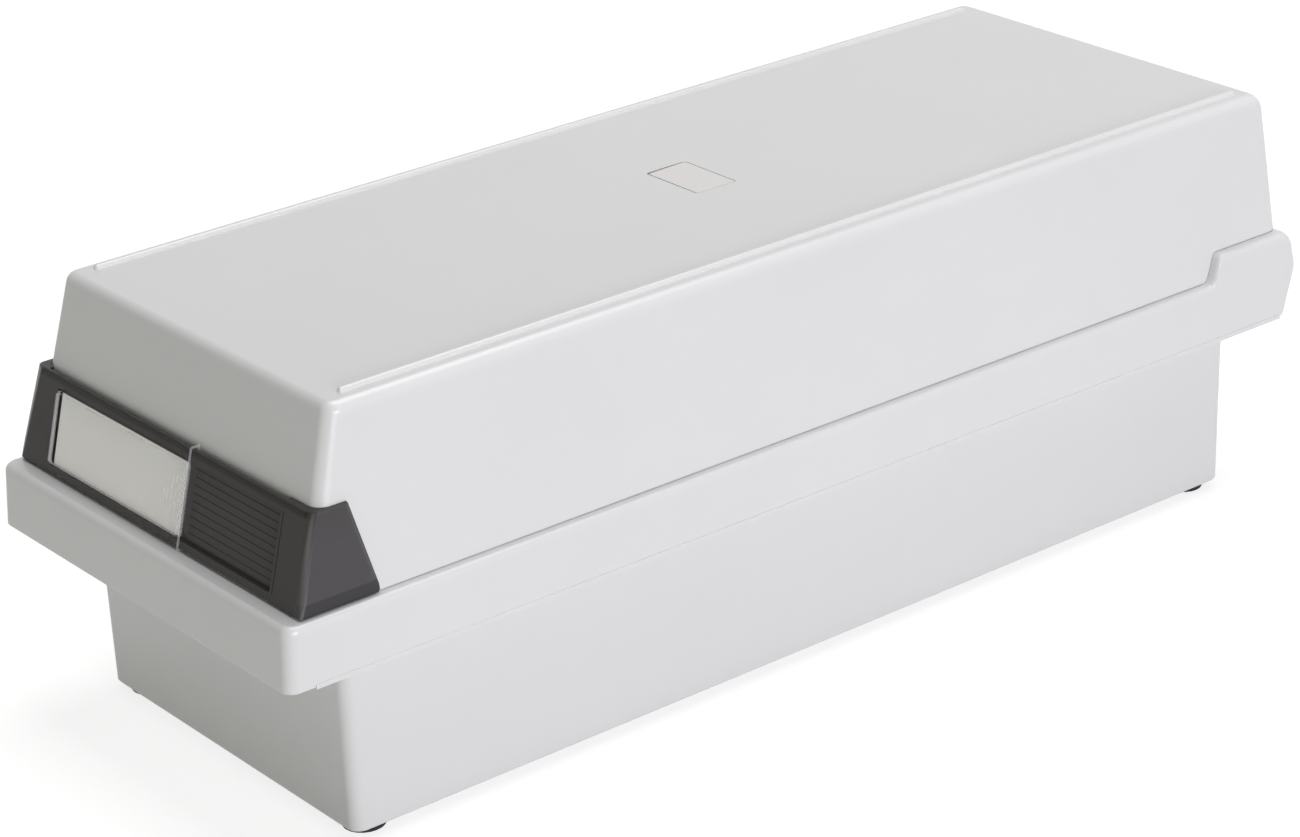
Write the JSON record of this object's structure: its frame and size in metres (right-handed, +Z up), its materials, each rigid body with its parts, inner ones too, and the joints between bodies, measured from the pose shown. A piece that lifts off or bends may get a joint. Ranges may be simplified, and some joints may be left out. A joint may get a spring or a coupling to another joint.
{
  "type": "index card tray",
  "caption": "Long desktop card tray with a hinged hood lid, a dark front clasp with a sliding label window, rubber feet and a cam-locked follower inside.",
  "frame": {"origin": "on the table, under the middle of the rim's outline", "axes": "+Z up, +Y from the label front to the hinged rear, +X to the right as seen from the front"},
  "size_m": [0.1392, 0.36, 0.1239],
  "materials": {
    "shell": "satin moulded polystyrene, light grey",
    "dark": "satin smoke grey moulding",
    "clear": "clear glossy styrene",
    "badge": "warm white satin plate",
    "card": "white label card",
    "rubber": "black rubber",
    "steel": "zinc plated steel",
    "sheet": "grey coated steel sheet"
  },
  "bodies": {
    "tray_body": {"tray": "shell", "foot_front_left": "rubber", "foot_front_right": "rubber", "foot_rear_left": "rubber", "foot_rear_right": "rubber", "hinge_pin_left": "steel", "hinge_pin_right": "steel"},
    "lid_body": {"lid": "shell", "lid_badge": "badge", "front_clasp": "dark", "label_card": "card"},
    "label_slider": {"label_cover": "clear"},
    "follower": {"follower_sled": "dark", "follower_plate": "sheet", "plate_rivet_left": "steel", "plate_rivet_right": "steel", "lever_pin": "steel"},
    "lever": {"lock_lever": "dark"}
  },
  "joints": [
    {"name": "lid_hinge", "type": "hinge", "parent": "tray_body", "child": "lid_body", "pos_m": [0, 0.1775, 0.0834], "axis": [-1, 0, 0], "range_deg": [0, 105]},
    {"name": "label_cover_slide", "type": "slide", "parent": "lid_body", "child": "label_slider", "axis": [1, 0, 0], "range_m": [0, 0.038]},
    {"name": "follower_slide", "type": "slide", "parent": "tray_body", "child": "follower", "axis": [0, 1, 0], "range_m": [-0.2, 0.012]},
    {"name": "lock_lever_hinge", "type": "hinge", "parent": "follower", "child": "lever", "pos_m": [0, 0.12523, 0.0119], "axis": [1, 0, 0], "range_deg": [0, 50]}
  ]
}
